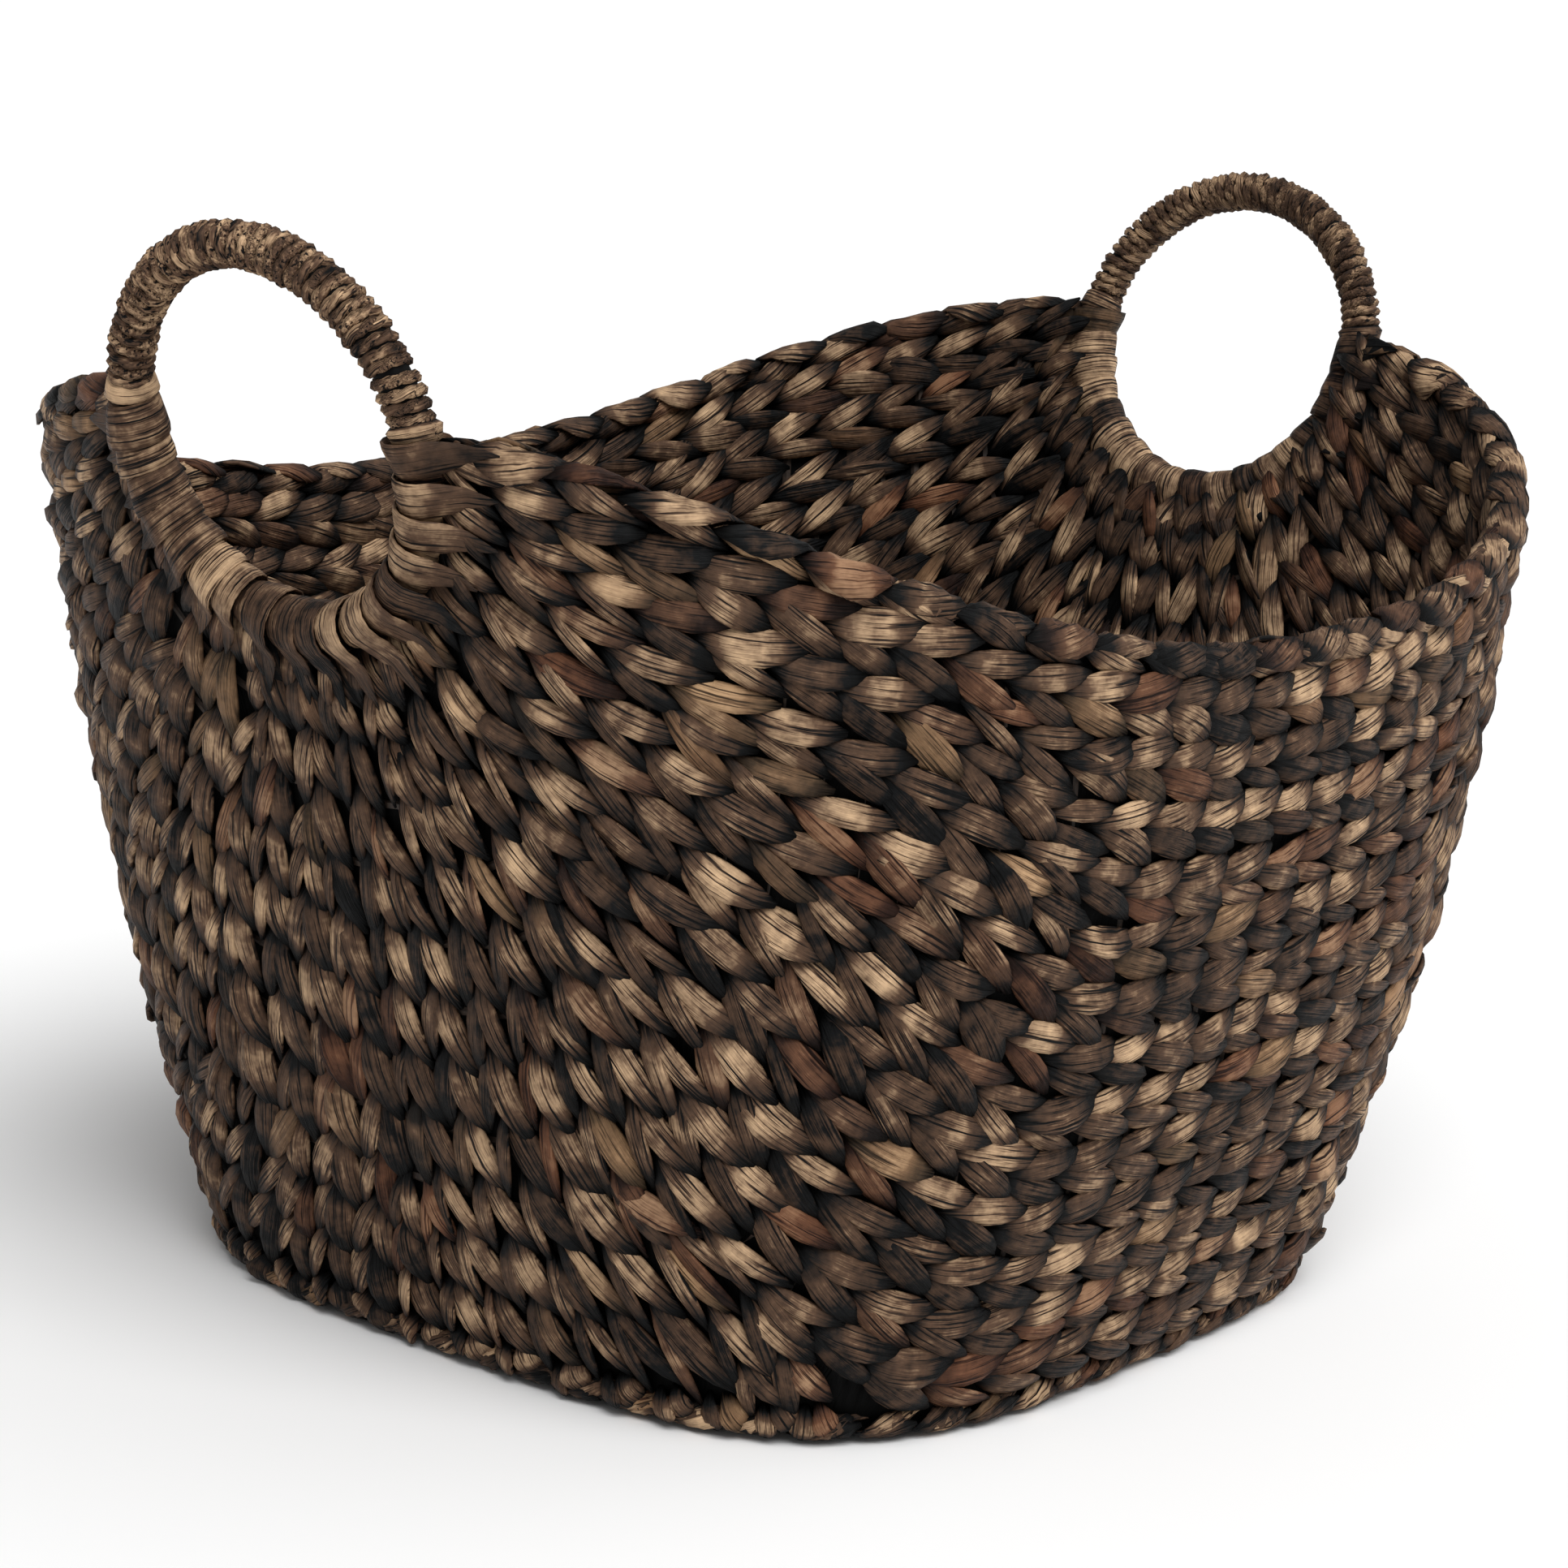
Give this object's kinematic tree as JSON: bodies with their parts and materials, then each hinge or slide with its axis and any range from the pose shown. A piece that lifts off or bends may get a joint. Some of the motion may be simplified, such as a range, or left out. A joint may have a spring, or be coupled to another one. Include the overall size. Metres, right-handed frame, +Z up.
{
  "type": "wicker log basket",
  "caption": "Scooped oval basket of twined dark leaf over rattan stakes, with a cord-wound ring handle bound into each raised end.",
  "frame": {"origin": "on the floor, under the middle of the foot", "axes": "+X along the length towards the right ring handle, +Y from the front long side to the back one, +Z up"},
  "size_m": [0.6142, 0.464, 0.4118],
  "materials": {
    "outer_leaf": "dark stained dried leaf, satin crowns",
    "inner_leaf": "dark stained dried leaf, matte",
    "floor_leaf": "dark stained dried leaf, matte",
    "roll_leaf": "dark stained dried leaf, satin crowns",
    "binding_leaf": "dark stained flat leaf, satin",
    "twisted_cord": "dark stained two-ply leaf cord, matte",
    "rattan_stake": "dark stained rattan core, matte",
    "steel_wire": "black enamelled wire"
  },
  "bodies": {
    "root": {"left_handle_ring": "steel_wire", "right_handle_ring": "steel_wire", "left_handle_cord": "twisted_cord", "right_handle_cord": "twisted_cord", "left_ring_binding": "binding_leaf", "right_ring_binding": "binding_leaf", "left_front_lashing": "binding_leaf", "left_back_lashing": "binding_leaf", "right_front_lashing": "binding_leaf", "right_back_lashing": "binding_leaf", "front_rim_roll": "roll_leaf", "back_rim_roll": "roll_leaf", "front_rim_rod": "steel_wire", "back_rim_rod": "steel_wire", "foot_roll": "roll_leaf", "inner_foot_roll": "roll_leaf", "floor_weave_lower": "floor_leaf", "floor_weave_upper": "floor_leaf", "front_outer_weave": "outer_leaf", "front_inner_weave": "inner_leaf", "back_outer_weave": "outer_leaf", "back_inner_weave": "inner_leaf", "left_outer_weave": "outer_leaf", "left_inner_weave": "inner_leaf", "right_outer_weave": "outer_leaf", "right_inner_weave": "inner_leaf", "cross_stake_1": "rattan_stake", "cross_stake_2": "rattan_stake", "cross_stake_3": "rattan_stake", "cross_stake_4": "rattan_stake", "cross_stake_5": "rattan_stake", "cross_stake_6": "rattan_stake", "cross_stake_7": "rattan_stake", "cross_stake_8": "rattan_stake", "cross_stake_9": "rattan_stake", "cross_stake_10": "rattan_stake", "cross_stake_11": "rattan_stake", "cross_stake_12": "rattan_stake", "left_hoop_stake_1": "rattan_stake", "left_hoop_stake_2": "rattan_stake", "left_hoop_stake_3": "rattan_stake", "left_hoop_stake_4": "rattan_stake", "left_hoop_stake_5": "rattan_stake", "left_hoop_stake_6": "rattan_stake", "left_hoop_stake_7": "rattan_stake", "left_hoop_stake_8": "rattan_stake", "left_hoop_stake_9": "rattan_stake", "left_hoop_stake_10": "rattan_stake", "right_hoop_stake_1": "rattan_stake", "right_hoop_stake_2": "rattan_stake", "right_hoop_stake_3": "rattan_stake", "right_hoop_stake_4": "rattan_stake", "right_hoop_stake_5": "rattan_stake", "right_hoop_stake_6": "rattan_stake", "right_hoop_stake_7": "rattan_stake", "right_hoop_stake_8": "rattan_stake", "right_hoop_stake_9": "rattan_stake", "right_hoop_stake_10": "rattan_stake"}
  },
  "joints": []
}
